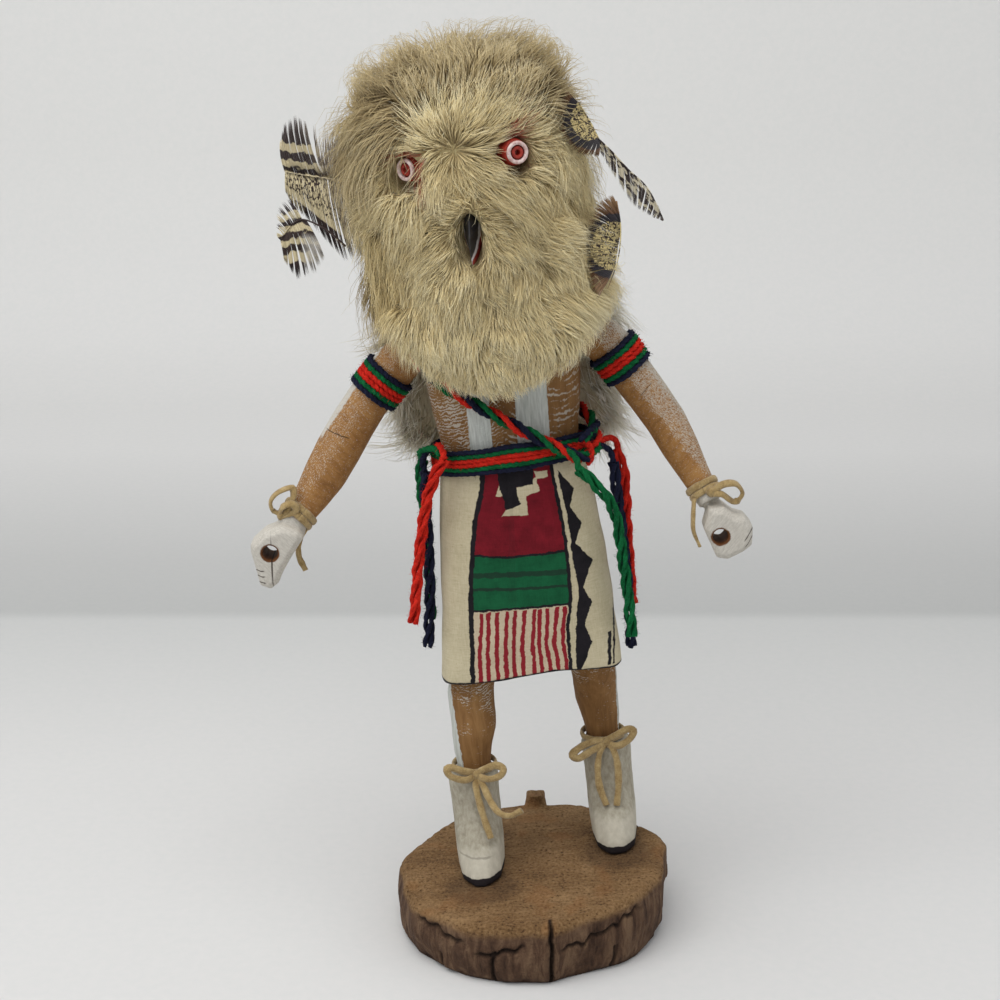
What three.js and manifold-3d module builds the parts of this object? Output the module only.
// A carved kachina doll on its branch slab: fur mask with feathers, yarn bands, painted kilt and suede ties.
// Units are millimetres. +Z is up, the doll faces -Y, and its own left side is +X.
// The origin is the centre of the slab's flat underside.
// The figure is built upright in its own group, which then leans to its right on the slab.

import * as THREE from 'three';
import { mergeVertices } from 'three/addons/utils/BufferGeometryUtils.js';
import Module from 'manifold-3d';

const wasm = await Module();
wasm.setup();

// ---- driving dimensions ----

const GAP = 0.3;

const slab = { radius: 57, height: 27, tilt: THREE.MathUtils.degToRad(4), sides: 39 };
const figure = { lean: THREE.MathUtils.degToRad(6), foot: [9, 0, 26.4] };
const torso = { x: 1, y: 14, bottom: 98, top: 238 };
const head = { x: 0.7, y: 12, radius: 31, bottom: 238.6, brow: 312, top: 331 };
const gaze = { turn: THREE.MathUtils.degToRad(-9.6), spread: THREE.MathUtils.degToRad(31), height: 303.6 };
const kiltSize = { bottom: 88, top: 172, wall: 1.4 };
const beltSize = { strands: 6, pitch: 2.1, height: 178, arch: 3, radiusX: 30.9, radiusY: 20.3 };
const bandSize = { strands: 6, pitch: 2.1, lift: 2.3, sides: 11, placeRight: 0.31, placeLeft: 0.33 };
const yarnRadius = 2.7;
const lace = { halfWidth: 1.5, halfThickness: 0.95 };
const gripRadius = 3.2;
const fistThickness = 14;

// ---- finishes ----

const finish = (color, roughness) => new THREE.MeshStandardMaterial({ color, roughness, metalness: 0 });

const finishes = {
  slabWood: finish('#7a5b41', 0.9),
  stainedWood: finish('#a8743e', 0.65),
  maskWood: finish('#9b7a55', 0.8),
  creamFur: finish('#cfc29b', 0.95),
  oliveFur: finish('#9a8c68', 0.95),
  greyFur: finish('#cfcab8', 0.95),
  redPaint: finish('#b5402f', 0.45),
  whiteBead: finish('#f1e6e2', 0.3),
  blackPaint: finish('#16161a', 0.5),
  feather: finish('#8a7658', 0.8),
  yarn: finish('#c02a26', 0.9),
  redYarn: finish('#d8321f', 0.9),
  greenYarn: finish('#0d6a3c', 0.9),
  navyYarn: finish('#15192e', 0.9),
  cloth: finish('#d9cdb4', 0.85),
  suede: finish('#c0a670', 0.9),
};

// ---- shape helpers ----

const vec = (x, y, z) => new THREE.Vector3(x, y, z);
const vecs = (rows) => rows.map((row) => vec(...row));
const gauss = (value, width) => Math.exp(-((value / width) ** 2));

// Joins equal points, drops collapsed triangles and turns the faces outwards.
function closedGeometry(positions, index) {
  let geometry = new THREE.BufferGeometry();
  geometry.setAttribute('position', new THREE.Float32BufferAttribute(positions, 3));
  geometry.setIndex(index);
  geometry = mergeVertices(geometry, 1e-4);
  const place = geometry.getAttribute('position');
  const corners = [vec(0, 0, 0), vec(0, 0, 0), vec(0, 0, 0)];
  const kept = [];
  let volume = 0;
  for (let i = 0; i < geometry.index.count; i += 3) {
    const ids = [0, 1, 2].map((k) => geometry.index.getX(i + k));
    if (new Set(ids).size < 3) continue;
    ids.forEach((id, k) => corners[k].fromBufferAttribute(place, id));
    volume += corners[0].dot(corners[1].clone().cross(corners[2]));
    kept.push(ids);
  }
  const outward = volume > 0 ? kept : kept.map(([a, b, c]) => [a, c, b]);
  geometry.setIndex(outward.flat());
  geometry.computeVertexNormals();
  return geometry;
}

// Skins a row of rings. An open loft is capped with a fan; a closed one runs back to its first ring.
function loft(rings, closed = false) {
  const sides = rings[0].length;
  const positions = rings.flat().flatMap((p) => [p.x, p.y, p.z]);
  const index = [];
  const spans = closed ? rings.length : rings.length - 1;
  for (let i = 0; i < spans; i++) {
    const here = i * sides;
    const next = ((i + 1) % rings.length) * sides;
    for (let j = 0; j < sides; j++) {
      const k = (j + 1) % sides;
      index.push(here + j, here + k, next + k, here + j, next + k, next + j);
    }
  }
  if (!closed) {
    for (const [ring, turn] of [[0, true], [rings.length - 1, false]]) {
      const middle = rings[ring].reduce((sum, p) => sum.add(p), vec(0, 0, 0)).divideScalar(sides);
      const centre = positions.length / 3;
      positions.push(middle.x, middle.y, middle.z);
      for (let j = 0; j < sides; j++) {
        const a = ring * sides + j;
        const b = ring * sides + ((j + 1) % sides);
        index.push(...(turn ? [centre, b, a] : [centre, a, b]));
      }
    }
  }
  return closedGeometry(positions, index);
}

// A closed wall between two grids of points of the same size.
function wall(outer, inner, wraps = false) {
  const rows = outer.length;
  const columns = outer[0].length;
  const positions = [...outer.flat(), ...inner.flat()].flatMap((p) => [p.x, p.y, p.z]);
  const at = (side, i, j) => side * rows * columns + (i % rows) * columns + j;
  const index = [];
  const quad = (a, b, c, d) => index.push(a, b, c, a, c, d);
  const spans = wraps ? rows : rows - 1;
  for (let i = 0; i < spans; i++) {
    for (let j = 0; j < columns - 1; j++) {
      quad(at(0, i, j), at(0, i + 1, j), at(0, i + 1, j + 1), at(0, i, j + 1));
      quad(at(1, i, j), at(1, i, j + 1), at(1, i + 1, j + 1), at(1, i + 1, j));
    }
    quad(at(0, i, 0), at(1, i, 0), at(1, i + 1, 0), at(0, i + 1, 0));
    quad(at(0, i, columns - 1), at(0, i + 1, columns - 1), at(1, i + 1, columns - 1), at(1, i, columns - 1));
  }
  if (!wraps) {
    for (let j = 0; j < columns - 1; j++) {
      quad(at(0, 0, j), at(0, 0, j + 1), at(1, 0, j + 1), at(1, 0, j));
      quad(at(0, rows - 1, j), at(1, rows - 1, j), at(1, rows - 1, j + 1), at(0, rows - 1, j + 1));
    }
  }
  return closedGeometry(positions, index);
}

const signedPower = (value, power) => Math.sign(value) * Math.abs(value) ** power;

// A level oval ring; power 2 is an ellipse and higher powers are squarer. height may be a function of x.
function oval({ x = 0, y = 0, z, rx, ry, power = 2 }, sides, grow = 0) {
  const ring = [];
  for (let j = 0; j < sides; j++) {
    const angle = (2 * Math.PI * j) / sides;
    const px = x + (rx + grow) * signedPower(Math.cos(angle), 2 / power);
    const py = y + (ry + grow) * signedPower(Math.sin(angle), 2 / power);
    ring.push(vec(px, py, typeof z === 'function' ? z(px) : z));
  }
  return ring;
}

// The same surface with shared corners and nothing but positions.
function welded(geometry) {
  const bare = geometry.clone();
  bare.deleteAttribute('normal');
  bare.deleteAttribute('uv');
  const merged = mergeVertices(bare, 1e-4);
  return closedGeometry(Array.from(merged.getAttribute('position').array), Array.from(merged.index.array));
}

function toSolid(geometry) {
  const closed = welded(geometry);
  return new wasm.Manifold(new wasm.Mesh({
    numProp: 3,
    vertProperties: Float32Array.from(closed.getAttribute('position').array),
    triVerts: Uint32Array.from(closed.index.array),
  }));
}

function toGeometry(solid) {
  const mesh = solid.getMesh();
  return closedGeometry(Array.from(mesh.vertProperties), Array.from(mesh.triVerts));
}

const join = (...geometries) => geometries.map(toSolid).reduce((sum, part) => sum.add(part));
const cut = (solid, ...tools) => tools.reduce((rest, tool) => rest.subtract(toSolid(tool)), solid);

function box(sizeX, sizeY, sizeZ, x, y, z, turnY = 0) {
  const geometry = new THREE.BoxGeometry(sizeX, sizeY, sizeZ);
  geometry.rotateY(turnY);
  geometry.translate(x, y, z);
  return geometry;
}

// A cylinder from one point to another.
function rod(from, to, radius, sides = 12, endRadius = radius) {
  const axis = to.clone().sub(from);
  const geometry = new THREE.CylinderGeometry(endRadius, radius, axis.length(), sides);
  geometry.translate(0, axis.length() / 2, 0);
  geometry.applyQuaternion(new THREE.Quaternion().setFromUnitVectors(vec(0, 1, 0), axis.normalize()));
  geometry.translate(from.x, from.y, from.z);
  return geometry;
}

// A tube of an oval section along a smooth curve through the points.
function tube(points, halfWidth, halfThickness, sides, steps) {
  const section = new THREE.Shape();
  for (let j = 0; j < sides; j++) {
    const angle = (2 * Math.PI * (j + 0.5)) / sides;
    const spot = [halfThickness * Math.cos(angle), halfWidth * Math.sin(angle)];
    if (j === 0) section.moveTo(...spot);
    else section.lineTo(...spot);
  }
  section.closePath();
  const extrudePath = new THREE.CatmullRomCurve3(points);
  return welded(new THREE.ExtrudeGeometry(section, { steps, extrudePath, curveSegments: 1 }));
}

// ---- groups and nodes ----

const group = new THREE.Group();
const doll = new THREE.Group();
doll.rotation.y = -figure.lean;
doll.position.set(...figure.foot);
group.add(doll);

function node(name, geometry, material, parent = doll) {
  const mesh = new THREE.Mesh(geometry, material.clone());
  mesh.name = name;
  parent.add(mesh);
  return mesh;
}

// ---- slab ----

// Radius of the slab's bark edge by direction: slow waves, a chip with a notch, and shallow bark ridges.
function slabRadius(angle) {
  const degrees = THREE.MathUtils.radToDeg(Math.atan2(Math.sin(angle), Math.cos(angle)));
  const waves = 1.1 * Math.sin(2 * angle + 0.6) + 0.8 * Math.sin(3 * angle + 2) + 0.5 * Math.sin(7 * angle);
  const chip = 3.6 * gauss(degrees - 13, 6) - 2.6 * gauss(degrees + 2, 4);
  const ridges = 0.45 * Math.sin(17 * angle + 1) + 0.3 * Math.sin(29 * angle);
  return slab.radius + waves + chip + ridges;
}

const slabTop = (x) => slab.height + Math.tan(slab.tilt) * x;

function slabGeometry() {
  const levels = [[0, 0.95], [0.12, 0.985], [0.5, 1.005], [0.94, 0.99], [1, 0.965]];
  const rings = levels.map(([share, scale]) => {
    const ring = [];
    for (let j = 0; j < slab.sides; j++) {
      const angle = (2 * Math.PI * j) / slab.sides;
      const undercut = share < 0.2 ? 1 - 0.02 * Math.max(0, Math.sin(5 * angle + 1)) : 1;
      const radius = slabRadius(angle) * scale * undercut;
      const x = radius * Math.cos(angle);
      ring.push(vec(x, radius * Math.sin(angle), share * slabTop(x)));
    }
    return ring;
  });
  const knob = rod(vec(3, 52, 18), vec(3, 61.5, 30), 6.5, 9, 4.4);
  const knobHole = rod(vec(3, 57.5, 25), vec(3, 65, 34.4), 1.6, 6);
  const crack = rod(vec(7, -38, 40), vec(9.6, -62, 12), 0.05, 3, 1.1);
  const checkMark = box(1.1, 26, 34, 9, -58, 18, 0.06);
  return toGeometry(cut(join(loft(rings), knob), knobHole, crack, checkMark));
}

node('base_slab', slabGeometry(), finishes.slabWood, group);

// ---- body ----

// Height of the slab's top under the figure, in the figure's own upright frame.
function soleHeight(x) {
  const slope = Math.tan(slab.tilt);
  const [footX, , footZ] = figure.foot;
  const sine = Math.sin(figure.lean);
  const cosine = Math.cos(figure.lean);
  const rise = slab.height + GAP + slope * footX - footZ;
  return (rise - x * (sine - slope * cosine)) / (cosine + slope * sine);
}

const torsoProfile = [
  [torso.bottom, 30.5, 17.4], [150, 28.3, 17.9], [186, 28.3, 18.1], [208, 31.4, 19.6], [221, 32.4, 19.8],
  [230, 30.6, 18.8], [235.5, 27, 16.8], [torso.top, 22, 14],
];

function torsoGeometry(grow = 0) {
  const rings = torsoProfile.map(([z, rx, ry], i) => {
    const end = i === 0 ? -grow : i === torsoProfile.length - 1 ? grow : 0;
    return oval({ x: torso.x, y: torso.y, z: z + end, rx, ry, power: 2.15 }, 22, grow);
  });
  return loft(rings);
}

// A leg with its boot: toe forward, shaft wider than the ankle that comes out of it.
function legGeometry({ footX, toeY, ankleY, ankleX, kneeX, hipX, calf }, grow = 0) {
  const sides = 10;
  const heelY = ankleY + 11;
  const bootRing = (z, front, rx, power) => {
    const y = (front + heelY) / 2;
    return oval({ x: footX, y, z, rx, ry: (heelY - front) / 2, power }, sides, grow);
  };
  const boot = loft([
    bootRing(soleHeight, toeY, 9.6, 2.3),
    bootRing(6, toeY + 0.8, 10, 2.3),
    bootRing(11, toeY + 4.5, 10.4, 2.2),
    bootRing(18, toeY + 10, 10.6, 2),
    bootRing(27, ankleY - 12.2, 10.8, 2),
    bootRing(44.5 + grow, ankleY - 11, 11.2, 2),
  ]);
  const leg = loft([
    oval({ x: ankleX, y: ankleY, z: 40, rx: 7.2, ry: 7.2 }, sides, grow),
    oval({ x: ankleX, y: ankleY, z: 47, rx: 7.4, ry: 7.4 }, sides, grow),
    oval({ x: ankleX, y: ankleY + 0.6, z: 54, rx: 8.6, ry: 8.4 }, sides, grow),
    oval({ x: kneeX, y: ankleY + 1, z: 64, rx: calf, ry: 10 }, sides, grow),
    oval({ x: kneeX, y: (ankleY + torso.y) / 2, z: 80, rx: calf + 0.4, ry: 10.4 }, sides, grow),
    oval({ x: hipX, y: torso.y, z: 102, rx: 10, ry: 11 }, sides, grow),
  ]);
  return [boot, leg];
}

const rightLeg = { footX: -29.8, toeY: -22, ankleY: 6, ankleX: -28.7, kneeX: -26.9, hipX: -19, calf: 10 };
const leftLeg = { footX: 28.4, toeY: -1.5, ankleY: 26, ankleX: 27.4, kneeX: 26.2, hipX: 20, calf: 9.8 };

node('body', toGeometry(join(torsoGeometry(), ...legGeometry(rightLeg), ...legGeometry(leftLeg))),
  finishes.stainedWood);

// ---- arms ----

// A limb is a curve through stations with a radius at each; sleeves and ties are built round it too.
function makeLimb(stations) {
  const curve = new THREE.CatmullRomCurve3(stations.map(([x, y, z]) => vec(x, y, z)));
  const radii = stations.map((station) => station[3]);
  const radiusAt = (t) => {
    const place = Math.min(t * (radii.length - 1), radii.length - 1.0001);
    const i = Math.floor(place);
    const blend = place - i;
    const ease = blend * blend * (3 - 2 * blend);
    return radii[i] * (1 - ease) + radii[i + 1] * ease;
  };
  const pointAt = (t, angle, grow) => {
    const along = curve.getTangent(t);
    const across = along.clone().cross(vec(0, 1, 0)).normalize();
    const over = across.clone().cross(along);
    const reach = radiusAt(t) + grow;
    return curve.getPoint(t)
      .addScaledVector(across, reach * Math.cos(angle))
      .addScaledVector(over, reach * Math.sin(angle));
  };
  const ringAt = (t, sides, grow = 0) => {
    const angles = Array.from({ length: sides }, (_, j) => (2 * Math.PI * j) / sides);
    return angles.map((angle) => pointAt(t, angle, grow));
  };
  const geometry = (sides, steps, grow = 0, end = 1) => {
    const rings = [];
    for (let i = 0; i <= steps; i++) rings.push(ringAt((end * i) / steps, sides, grow));
    return loft(rings);
  };
  return { curve, pointAt, geometry };
}

// A sleeve of wraps round a limb: rounded strands side by side, hollow for the limb.
function sleeve(limb, middle, strands, pitch, lift, sides) {
  const length = limb.curve.getLength();
  const start = middle - (strands * pitch) / (2 * length);
  const profile = [];
  for (let k = 0; k < strands; k++) {
    profile.push([k, lift * 0.6], [k + 0.5, lift]);
  }
  profile.push([strands, lift * 0.6], [strands, 2 * GAP], [0, 2 * GAP]);
  const sections = [];
  for (let j = 0; j < sides; j++) {
    const angle = (2 * Math.PI * j) / sides;
    sections.push(profile.map(([k, grow]) => limb.pointAt(start + (k * pitch) / length, angle, grow)));
  }
  return loft(sections, true);
}

// A fist: a flat block with softened edges, a round grip hole and the slit between thumb and fingers.
function fistGeometry({ hole, outline, slitTurn, fingerCuts }, grow = 0) {
  const shape = new THREE.Shape(outline.map(([x, z]) => new THREE.Vector2(x, z)));
  const bevel = 2.2;
  const block = new THREE.ExtrudeGeometry(shape, {
    depth: fistThickness - 2 * bevel, bevelEnabled: true, bevelThickness: bevel + grow, bevelSize: bevel,
    bevelOffset: grow - bevel, bevelSegments: 1, curveSegments: 1, steps: 1,
  });
  block.rotateX(Math.PI / 2);
  block.translate(hole[0], hole[1] + fistThickness / 2 - bevel, hole[2]);
  const centre = vec(...hole);
  const reach = vec(0, fistThickness, 0);
  const bore = rod(centre.clone().sub(reach), centre.clone().add(reach), gripRadius, 14);
  const slitLength = 9;
  const slitAt = centre.clone().addScaledVector(vec(Math.sin(slitTurn), 0, -Math.cos(slitTurn)), slitLength / 2);
  const slit = box(0.8, 2 * fistThickness, slitLength, slitAt.x, slitAt.y, slitAt.z, -slitTurn);
  const grooves = fingerCuts.map(([x, z, turn]) => {
    const groove = box(5, 2 * fistThickness, 0.6, 0, 0, 0, turn);
    groove.translate(hole[0] + x, hole[1], hole[2] + z);
    return groove;
  });
  return { block, tools: [bore, slit, ...grooves] };
}

function armGeometry(limb, fist) {
  const { block, tools } = fistGeometry(fist);
  return toGeometry(cut(join(limb.geometry(11, 10), block), torsoGeometry(GAP), ...tools));
}

const rightLimb = makeLimb([
  [-26, 14, 229, 8.6], [-36.5, 14, 225.8, 9.4], [-46.5, 13.4, 216.6, 9.3], [-56.5, 12.6, 206.4, 9.2],
  [-67, 11, 192.4, 9.7], [-76.6, 7.5, 179, 9.1], [-85.5, 3, 168.4, 6.6], [-92, -1, 162.5, 5.6],
]);
const leftLimb = makeLimb([
  [28, 14, 229, 8.6], [38, 14, 226.4, 9.4], [46.6, 13.4, 218.6, 9.3], [53.6, 12.6, 206.6, 9],
  [63.4, 11, 190.6, 8.6], [70, 7.5, 175.8, 7.9], [76, 3, 162.4, 5.8], [79.4, -1, 155.4, 5.2],
]);

const rightFist = {
  hole: [-99.5, -3, 155],
  outline: [
    [14.2, 4.6], [12.6, 7.6], [6.4, 10.6], [-1.4, 8.6], [-7.6, 4], [-8, 0.6], [-7, -6.8], [-6.2, -14],
    [-2, -16], [1.4, -13.6], [3.4, -9.8], [7.4, -4],
  ],
  slitTurn: -0.14,
  fingerCuts: [[-7.6, -8.6, 0.2], [-7.2, -11, 0.2], [-6.6, -13.4, 0.2]],
};
const leftFist = {
  hole: [81.6, -3, 143],
  outline: [
    [-6.4, 3.4], [-5, 7.4], [-3.6, 11.6], [2.4, 11.8], [6.2, 8.2], [10.6, 6.4], [13.4, 2.2], [12.6, -5.4],
    [8.8, -8], [2.4, -10.6], [-2, -9.4],
  ],
  slitTurn: 0.3,
  fingerCuts: [[14, 3, 1.2], [14.4, 0, 1.35], [14.2, -3.2, 1.5]],
};

node('arm_right', armGeometry(rightLimb, rightFist), finishes.stainedWood);
node('arm_left', armGeometry(leftLimb, leftFist), finishes.stainedWood);

function armband(limb, place) {
  const { strands, pitch, lift, sides } = bandSize;
  return sleeve(limb, place, strands, pitch, lift, sides);
}

node('armband_right', armband(rightLimb, bandSize.placeRight), finishes.yarn);
node('armband_left', armband(leftLimb, bandSize.placeLeft), finishes.yarn);

// ---- head, eyes and beak ----

function headGeometry(grow = 0) {
  const dome = [[head.brow, 1], [320, 0.94], [326, 0.8], [329.5, 0.6], [head.top, 0.32]];
  const levels = [[head.bottom, 0.96], [241, 1], ...dome];
  const rings = levels.map(([z, scale], i) => {
    const end = i === 0 ? -grow : i === levels.length - 1 ? grow : 0;
    const radius = head.radius * scale;
    return oval({ x: head.x, y: head.y, z: z + end, rx: radius, ry: radius }, 20, grow);
  });
  return loft(rings);
}

node('head', headGeometry(), finishes.maskWood);

// A point round the head's axis: azimuth 0 faces forward and grows to the doll's left.
function aroundHead(azimuth, radius, z) {
  return vec(head.x + radius * Math.sin(azimuth), head.y - radius * Math.cos(azimuth), z);
}

const eye = { pegRadius: 5.6, pegTop: 40.4, ringRadius: 4.2, boreRadius: 2.5, ringTop: 42.6 };
const eyeSides = {
  right: { azimuth: gaze.turn - gaze.spread, height: gaze.height - 1.4 },
  left: { azimuth: gaze.turn + gaze.spread, height: gaze.height + 1.4 },
};

function eyeRod({ azimuth, height }, from, to, radius, sides, endRadius) {
  return rod(aroundHead(azimuth, from, height), aroundHead(azimuth, to, height), radius, sides, endRadius);
}

// The white ring is a turned bead, revolved round the peg's axis.
function eyeRing({ azimuth, height }) {
  const { ringRadius, boreRadius, pegTop, ringTop } = eye;
  const low = pegTop + GAP;
  const middle = (low + ringTop) / 2;
  const profile = [
    [boreRadius, low], [ringRadius - 0.4, low], [ringRadius, middle], [ringRadius - 0.7, ringTop],
    [boreRadius + 0.4, ringTop], [boreRadius, low],
  ];
  const geometry = new THREE.LatheGeometry(profile.map(([r, h]) => new THREE.Vector2(r, h)), 11);
  const direction = aroundHead(azimuth, 1, 0).sub(aroundHead(azimuth, 0, 0)).normalize();
  geometry.applyQuaternion(new THREE.Quaternion().setFromUnitVectors(vec(0, 1, 0), direction));
  const base = aroundHead(azimuth, 0, height);
  geometry.translate(base.x, base.y, base.z);
  return welded(geometry);
}

for (const [name, side] of Object.entries(eyeSides)) {
  const peg = toSolid(eyeRod(side, head.radius - 2, eye.pegTop, eye.pegRadius + 0.8, 10, eye.pegRadius - 1));
  const dimple = eyeRod(side, eye.pegTop - 2.5, eye.pegTop + 2, 1.4, 8);
  node(`eye_peg_${name}`, toGeometry(cut(peg, headGeometry(GAP), dimple)), finishes.redPaint);
  node(`eye_ring_${name}`, eyeRing(side), finishes.whiteBead);
}

// The beak is a wedge: three-cornered sections, flat at the mask, running down to a point.
function beakGeometry(grow = 0) {
  const azimuth = THREE.MathUtils.degToRad(-8);
  const root = head.radius + GAP - grow;
  const sections = [[287, 4.2, 36], [283, 4.9, 41], [276, 4, 45.5], [269, 2.3, 46], [265.6, 0.7, 43.5]];
  return loft(sections.map(([z, half, reach]) => {
    const spread = (half + grow) / root;
    return [
      aroundHead(azimuth - spread, root, z), aroundHead(azimuth + spread, root, z),
      aroundHead(azimuth + 0.01, reach + grow, z),
    ];
  }));
}

node('beak', beakGeometry(), finishes.blackPaint);

// ---- fur ----

const furProfile = [
  { z: 241.8, x: 0, rx: 46, y: 14, ry: 39 },
  { z: 250, x: -0.5, rx: 49.5, y: 12.5, ry: 42.5 },
  { z: 268, x: -2.5, rx: 47, y: 12, ry: 44.5 },
  { z: 290, x: -5, rx: 47, y: 12, ry: 45 },
  { z: 310, x: -5.5, rx: 47, y: 12, ry: 43.5 },
  { z: 323, x: -5, rx: 44, y: 12, ry: 40.5 },
  { z: 333, x: -3, rx: 37.5, y: 12, ry: 34 },
  { z: 339.5, x: -1, rx: 28, y: 12, ry: 26 },
  { z: 343, x: 0, rx: 16, y: 12, ry: 14 },
];

// The outer surface of the pelts, with soft locks that run down them.
function furGeometry(grow = 0) {
  const sides = 25;
  return loft(furProfile.map((level, i) => oval(level, sides, grow).map((p, j) => {
    const angle = (2 * Math.PI * j) / sides;
    const lock = 1 + 0.03 * Math.sin(9 * angle + 0.9 * i) + 0.014 * Math.sin(5 * angle - 1.3 * i);
    return vec(level.x + (p.x - level.x) * lock, level.y + (p.y - level.y) * lock, p.z);
  })));
}

// The beard hangs from the chin over the chest.
function beardGeometry() {
  const beardSides = 17;
  const levels = [
    { z: 213.8, x: 0, y: -19.5, rx: 10, ry: 5 },
    { z: 221, x: 0, y: -18.6, rx: 25, ry: 10 },
    { z: 236, x: -1, y: -14, rx: 38, ry: 15.4 },
    { z: 250, x: -1.5, y: -10, rx: 42, ry: 18 },
  ];
  return loft(levels.map((level, i) => oval(level, beardSides).map((p, j) => {
    const lock = 1 + 0.035 * Math.sin((16 * Math.PI * j) / beardSides + i);
    return vec(level.x + (p.x - level.x) * lock, level.y + (p.y - level.y) * lock, p.z);
  })));
}

// The face pelt is what lies in front of the head's middle and under an arch over the brow.
function facePelt(grow = 0) {
  const arch = new THREE.Shape();
  arch.moveTo(-62 - grow, 205);
  arch.lineTo(62 + grow, 205);
  arch.lineTo(62 + grow, 255);
  arch.bezierCurveTo(50 + grow, 300 + grow, 24, 327 + grow, 0, 327 + grow);
  arch.bezierCurveTo(-26, 327 + grow, -54 - grow, 300 + grow, -62 - grow, 255);
  const region = new THREE.ExtrudeGeometry(arch, { depth: 70 + grow, bevelEnabled: false, curveSegments: 4 });
  region.rotateX(Math.PI / 2);
  region.translate(0, 11 + grow, 0);
  return region;
}

function eyeClearance(side) {
  return eyeRod(side, 20, 62, eye.pegRadius + 1.6, 8, eye.pegRadius + 3.4);
}

const beakOpening = (() => {
  const ball = new THREE.SphereGeometry(1, 9, 6);
  ball.scale(7.2, 12, 13);
  const centre = aroundHead(THREE.MathUtils.degToRad(-8), 46, 275);
  ball.translate(centre.x, centre.y, centre.z);
  return ball;
})();

const facePeltSolid = cut(
  toSolid(furGeometry()).intersect(toSolid(facePelt())).add(toSolid(beardGeometry())),
  headGeometry(GAP), torsoGeometry(GAP), beakGeometry(GAP), beakOpening,
  eyeClearance(eyeSides.right), eyeClearance(eyeSides.left),
);
node('face_fur', toGeometry(facePeltSolid), finishes.creamFur);

const hoodSolid = cut(toSolid(furGeometry()), facePelt(GAP), headGeometry(GAP));
node('hood_fur', toGeometry(hoodSolid), finishes.oliveFur);

// The cape is a pelt that hangs from the hood behind the back, its long edges curling forward.
function capeGeometry() {
  const columns = 11;
  const levels = [[177, 43], [186, 46], [205, 48], [225, 50], [241, 47]];
  const grid = (offset) => Array.from({ length: columns }, (_, i) => levels.map(([z, half], k) => {
    const share = (2 * i) / (columns - 1) - 1;
    const x = 1 + half * share;
    const ragged = k === 0 ? 3 * Math.cos(9 * share) - 3 * share * share : 0;
    const thin = 1 - 0.55 * share ** 6;
    const lift = 4.6 * Math.max(0, (z - 214) / 26) ** 2;
    return vec(x, 44.4 + lift - 0.0045 * x * x + offset * thin, z - ragged);
  }));
  return wall(grid(3.6), grid(-3.6));
}

node('cape_fur', capeGeometry(), finishes.greyFur);

// ---- feathers ----

// A feather: a thin vane on a bent quill, widest past its middle. spine is the quill's line.
function featherGeometry({ spine, across, width, skew = 0 }) {
  const curve = new THREE.CatmullRomCurve3(vecs(spine));
  const side = vec(...across).normalize();
  const steps = 7;
  const half = 0.45;
  const rings = [];
  for (let i = 0; i <= steps; i++) {
    const t = i / steps;
    const along = curve.getTangent(t);
    const normal = along.clone().cross(side).normalize();
    const edge = normal.clone().cross(along).normalize();
    const swell = Math.max(0.07, Math.sin(Math.PI * Math.min(1, 0.06 + 0.94 * t)) ** 0.6) * width;
    const leading = edge.clone().multiplyScalar(swell * (1 + skew));
    const trailing = edge.clone().multiplyScalar(-swell * (1 - skew));
    const at = curve.getPoint(t);
    rings.push([
      at.clone().add(leading), at.clone().addScaledVector(normal, half + 0.35),
      at.clone().add(trailing), at.clone().addScaledVector(normal, -half),
    ]);
  }
  return loft(rings);
}

const feathers = {
  feather_right_upper: {
    spine: [[-46, 20, 284], [-60, 18, 295], [-71, 16, 301], [-80, 13, 304]],
    across: [0.15, 0.2, 1], width: 13, skew: 0.15,
  },
  feather_right_lower: {
    spine: [[-46, 17, 272], [-60, 15, 279], [-71, 13, 281], [-81, 10, 272]],
    across: [0.3, 0.2, 1], width: 12.5, skew: -0.35,
  },
  feather_left_upper: {
    spine: [[33, 3, 322], [37, -2, 313], [40, -4, 304], [41, -3, 297]],
    across: [1, 0.5, 0.25], width: 9,
  },
  feather_left_long: {
    spine: [[43, 8, 306], [51, 6, 297], [61, 4, 284], [70, 4, 268]],
    across: [1, 0.4, 0.6], width: 6, skew: 0.1,
  },
  feather_left_lower: {
    spine: [[40, 5, 284], [44.5, -1, 273], [46.5, -4, 260], [43.5, -5, 247]],
    across: [1, 0.55, 0.1], width: 8.5,
  },
};

for (const [name, feather] of Object.entries(feathers)) {
  node(name, toGeometry(cut(toSolid(featherGeometry(feather)), furGeometry(GAP))), finishes.feather);
}

// ---- kilt, belt and sash ----

const kiltProfile = [
  { z: kiltSize.bottom, x: 0.2, y: 15, rx: 38, ry: 20.5, power: 3.2 },
  { z: 117, x: 0.9, y: 14.8, rx: 35.9, ry: 20.6, power: 2.9 },
  { z: 139, x: 1.3, y: 14.5, rx: 34.3, ry: 20.4, power: 2.7 },
  { z: 158, x: 1.3, y: 14.2, rx: 32.4, ry: 20.2, power: 2.5 },
  { z: kiltSize.top, x: 1, y: 14, rx: 30.4, ry: 19.8, power: 2.2 },
];

function kiltGeometry() {
  const sides = 24;
  const rings = (grow) => kiltProfile.map((level) => oval(level, sides, grow));
  const columns = (levels) => Array.from({ length: sides }, (_, j) => levels.map((ring) => ring[j]));
  return wall(columns(rings(0)), columns(rings(-kiltSize.wall)), true);
}

node('kilt', kiltGeometry(), finishes.cloth);

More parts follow.
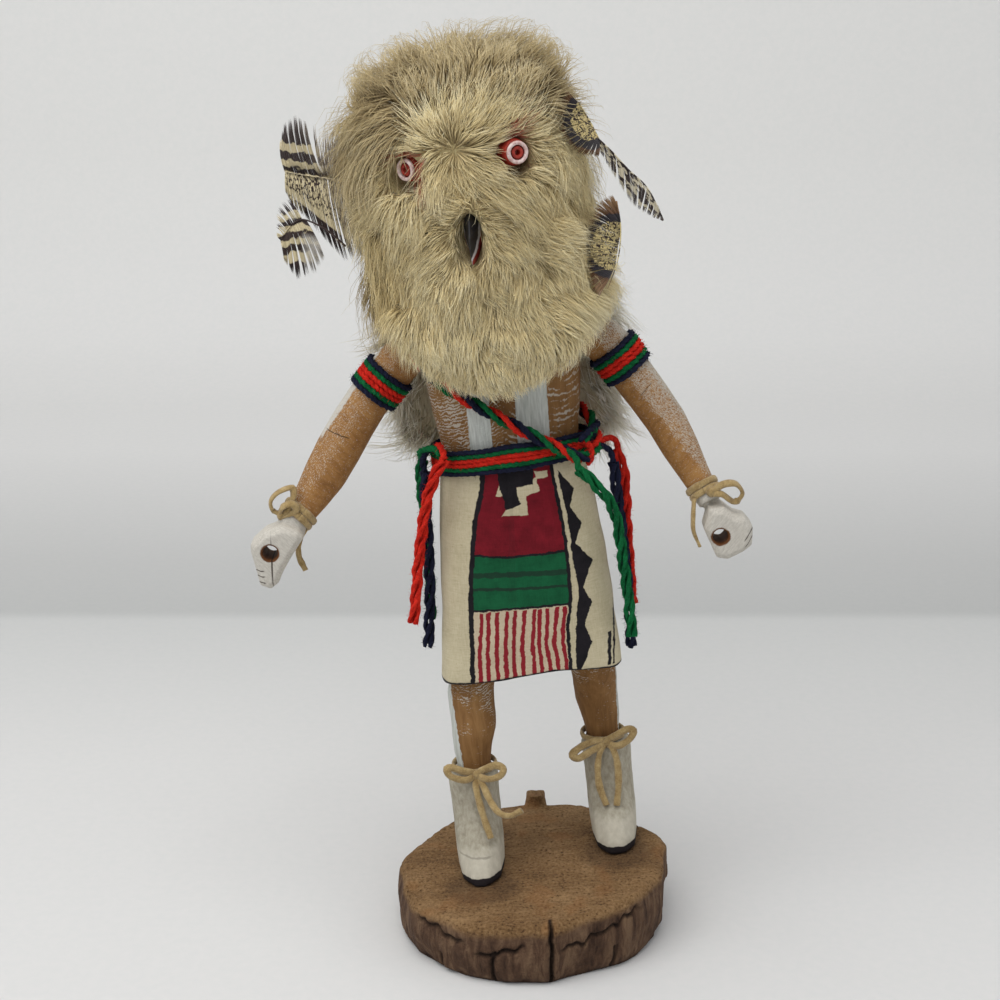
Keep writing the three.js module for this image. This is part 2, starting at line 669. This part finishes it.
// Bands of yarn round the waist that arch up a little in front.
function beltGeometry() {
  const { strands, pitch, height, arch, radiusX, radiusY } = beltSize;
  const profile = [];
  for (let k = 0; k < strands; k++) {
    profile.push([k, 1.3], [k + 0.5, 2.2]);
  }
  profile.push([strands, 1.3], [strands, 0], [0, 0]);
  const sections = [];
  const sides = 21;
  for (let j = 0; j < sides; j++) {
    const angle = (2 * Math.PI * j) / sides;
    const middle = height + arch * Math.max(0, -Math.sin(angle)) ** 1.5;
    sections.push(profile.map(([k, grow]) => vec(
      torso.x + (radiusX + grow) * signedPower(Math.cos(angle), 0.9),
      torso.y + (radiusY + grow) * signedPower(Math.sin(angle), 0.9),
      middle + (k - strands / 2) * pitch,
    )));
  }
  return loft(sections, true);
}

node('belt', beltGeometry(), finishes.yarn);

// The sash is a rope of three plies: a lobed section that turns as it follows a closed loop.
function sashGeometry() {
  const route = [
    [-38.5, 12, 238.6], [-36, 2, 236], [-31, -4.2, 227.5], [-24.4, -7.6, 217.5], [-13, -9.4, 207],
    [-1.7, -9.6, 199.6], [9, -9, 193], [19, -7.2, 188.6], [28, -2, 188], [34, 7, 188.6],
    [34.4, 18, 190.2], [28.5, 28.6, 194], [14, 35, 200], [-4, 36.9, 210], [-20, 34, 221],
    [-32, 27, 231.5], [-37.5, 20, 237],
  ];
  const curve = new THREE.CatmullRomCurve3(vecs(route), true);
  const steps = 40;
  const sides = 6;
  const frames = curve.computeFrenetFrames(steps, true);
  const rings = [];
  for (let i = 0; i < steps; i++) {
    const centre = curve.getPointAt(i / steps);
    const turn = (2 * Math.PI * i) / 6.5;
    const ring = [];
    for (let j = 0; j < sides; j++) {
      const angle = (2 * Math.PI * j) / sides;
      const reach = 2.25 * (1 + 0.16 * Math.cos(3 * (angle - turn)));
      ring.push(centre.clone()
        .addScaledVector(frames.normals[i], reach * Math.cos(angle))
        .addScaledVector(frames.binormals[i], reach * Math.sin(angle)));
    }
    rings.push(ring);
  }
  return loft(rings, true);
}

node('sash', sashGeometry(), finishes.yarn);

// ---- hanging yarn ends ----

const tassels = {
  tassel_right_red: {
    route: [[-35.6, -8, 209], [-39.4, -7, 202], [-42.6, -5, 192], [-44.8, -3.4, 180], [-46.4, -2.4, 167],
      [-47.8, -1.6, 152], [-49.1, -1, 136.9]],
    material: finishes.redYarn,
  },
  tassel_right_navy: {
    route: [[-43.8, 4.6, 200], [-43.8, 5, 186.5], [-43, 6, 169.3], [-42.6, 7, 151.7], [-43, 8, 136.2],
      [-43.6, 9, 122.7]],
    material: finishes.navyYarn,
  },
  tassel_right_green: {
    route: [[-45.4, 13, 203], [-46.2, 14.4, 196], [-45.4, 15.5, 184.4], [-44, 16.5, 166.6],
      [-43.2, 17.5, 148.9], [-42.8, 18, 131.8]],
    material: finishes.greenYarn,
  },
  tassel_left_green: {
    route: [[17.6, -13.6, 206.6], [22.6, -13.6, 201.8], [28, -12, 195.4], [32.2, -9, 187.5],
      [34.6, -6.6, 177.5], [36.6, -5.4, 163.9], [39, -4.6, 148.7], [41, -4, 132.4]],
    material: finishes.greenYarn,
  },
  tassel_left_navy: {
    route: [[32.6, 8, 203], [34.4, 8.6, 190.5], [36.8, 9, 172.9], [39, 9.6, 155.4], [40.8, 10, 137.7],
      [41.8, 10.6, 121.9]],
    material: finishes.navyYarn,
  },
  tassel_left_red: {
    route: [[34, 18, 205.5], [37, 18.6, 199], [38.4, 18.6, 187.8], [39.6, 18.4, 170.4], [41.2, 18.2, 152.6],
      [42.4, 18, 138.3]],
    material: finishes.redYarn,
  },
};

for (const [name, { route, material }] of Object.entries(tassels)) {
  node(name, tube(vecs(route), yarnRadius, yarnRadius, 8, 5), material, group);
}

// ---- suede ties ----

const laceTube = (points, steps) => tube(points, lace.halfWidth, lace.halfThickness, 4, steps);

function knot(centre, size) {
  const ball = new THREE.SphereGeometry(size, 5, 4);
  ball.scale(1.1, 0.8, 0.9);
  ball.translate(centre.x, centre.y, centre.z);
  return ball;
}

// A wrap of lace round a leg just above the boot, with a bow in front and two tails.
function ankleTie(leg, { wrapHeight, loops, tails }) {
  const radius = 7.4 + 2 * GAP;
  const outer = radius + 2.1;
  const sides = 9;
  const ring = [];
  for (let j = 0; j < sides; j++) {
    const angle = (2 * Math.PI * j) / sides;
    const spot = (reach, rise) => vec(
      leg.ankleX + reach * Math.cos(angle), leg.ankleY + reach * Math.sin(angle), wrapHeight + rise,
    );
    ring.push([spot(radius, -1.4), spot(outer, -1), spot(outer, 1), spot(radius, 1.4)]);
  }
  const bow = vec(leg.ankleX + 1, leg.ankleY - outer, wrapHeight + 0.4);
  const place = ([x, y, z]) => vec(bow.x + x, bow.y + y, bow.z + z);
  const strips = [
    ...loops.map((points) => laceTube([bow, ...points.map(place), place([0, -0.4, -0.8])], 5)),
    ...tails.map((points) => laceTube([bow, ...points.map(place)], 3)),
  ];
  const pieces = join(loft(ring, true), knot(bow, 3), ...strips);
  return toGeometry(cut(pieces, ...legGeometry(leg, GAP)));
}

node('ankle_tie_right', ankleTie(rightLeg, {
  wrapHeight: 46.8,
  loops: [
    [[-6, -2.6, 2.2], [-11, -2.2, 5], [-10.6, -3.2, 1.4], [-5, -3.4, -1.2]],
    [[5, -2.6, 3], [10.4, -2.4, 2.8], [10, -3.4, -0.6], [5, -3.6, -1.6]],
  ],
  tails: [
    [[-0.8, -3.8, -9.6], [0.4, -5.2, -19], [2.8, -7.8, -27]],
    [[3.4, -4.4, -9], [7, -8, -14.6], [12.4, -11.4, -15.6], [17.8, -13, -13]],
  ],
}), finishes.suede);

node('ankle_tie_left', ankleTie(leftLeg, {
  wrapHeight: 46.8,
  loops: [
    [[-7, -2.6, 0.4], [-14, -2.6, -2.8], [-13, -3.4, -5.4], [-6.6, -3.4, -3]],
    [[5.6, -2.4, 3.4], [10, -2, 4.6], [9.4, -2.8, 1], [4.6, -3.2, -1.6]],
  ],
  tails: [
    [[-4.6, -4, -10.6], [-4.6, -5, -20], [-2.4, -6.6, -28]],
    [[3.4, -4, -9.8], [3, -5, -19], [1.4, -6.6, -28.4]],
  ],
}), finishes.suede);

// A wrap of lace round a wrist with a knot on its outer side, loops, and tails.
function wristTie(limb, fist, { middle, knotAngle, loops, tails }) {
  const centre = limb.pointAt(middle, knotAngle, 2.4);
  const place = ([x, y, z]) => vec(centre.x + x, centre.y + y, centre.z + z);
  const strips = [
    ...loops.map((points) => laceTube([centre, ...points.map(place), place([0.6, -0.6, -0.6])], 5)),
    ...tails.map(({ angle, points }) => laceTube([limb.pointAt(middle, angle, 1.4), ...vecs(points)], 3)),
  ];
  const pieces = join(sleeve(limb, middle, 2, 2.3, 2.3, 8), knot(centre, 3), ...strips);
  return toGeometry(cut(pieces, limb.geometry(11, 10, GAP), fistGeometry(fist, GAP).block));
}

node('wrist_tie_right', wristTie(rightLimb, rightFist, {
  middle: 0.9,
  knotAngle: THREE.MathUtils.degToRad(-140),
  loops: [
    [[-3, -1, 2.6], [-2.6, -1.4, 6.6], [1.6, -1.2, 9.6], [7, 0.4, 10], [4.4, -1, 5.6]],
    [[1.4, -3, 3.8], [5.4, -3.4, 5], [6.6, -2.6, 2]],
  ],
  tails: [{
    angle: THREE.MathUtils.degToRad(60),
    points: [[-90.4, 7.2, 153], [-90.4, 6.8, 147.6], [-88.6, 6, 141]],
  }],
}), finishes.suede);

node('wrist_tie_left', wristTie(leftLimb, leftFist, {
  middle: 0.9,
  knotAngle: THREE.MathUtils.degToRad(-80),
  loops: [[[5, -1.4, 3], [10.4, -0.6, 2], [12.4, 0.4, -2.6], [8.6, 0.8, -5.4], [4, -1.6, -1]]],
  tails: [{
    angle: THREE.MathUtils.degToRad(-150),
    points: [[71.4, -7.4, 152], [71, -8.4, 146], [73, -8.6, 139.4]],
  }],
}), finishes.suede);

export default group;
